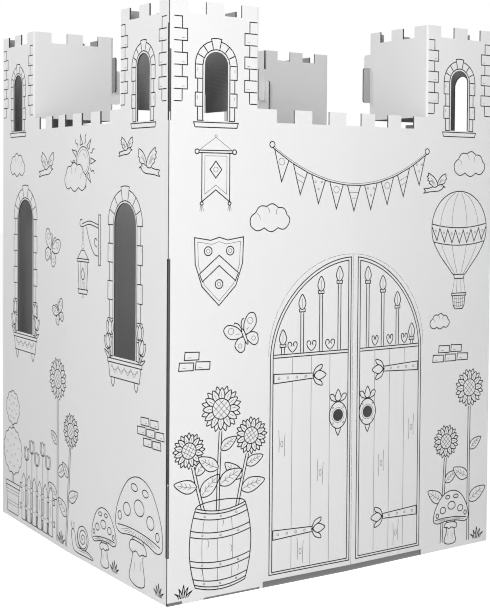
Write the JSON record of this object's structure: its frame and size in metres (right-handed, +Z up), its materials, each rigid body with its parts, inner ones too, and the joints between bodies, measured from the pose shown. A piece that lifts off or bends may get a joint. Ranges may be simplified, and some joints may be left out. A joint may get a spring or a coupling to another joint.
{
  "type": "cardboard castle",
  "caption": "Play castle of folded white corrugated board: four walls, square corner towers with crossing tabs, battlements, arched windows and cut double doors with finger holes",
  "frame": {"origin": "on the floor, under the middle of the castle", "axes": "+X to the right along the front wall, +Y from the front wall with the doors to the back wall, +Z up"},
  "size_m": [0.985, 0.985, 1.34],
  "materials": {
    "white_board": "matte white liner outside, pale grey liner inside, fluted cut edges",
    "line_print": "matte dark grey ink lines"
  },
  "bodies": {
    "root": {"front_right_board": "white_board", "left_back_board": "white_board"}
  },
  "joints": []
}
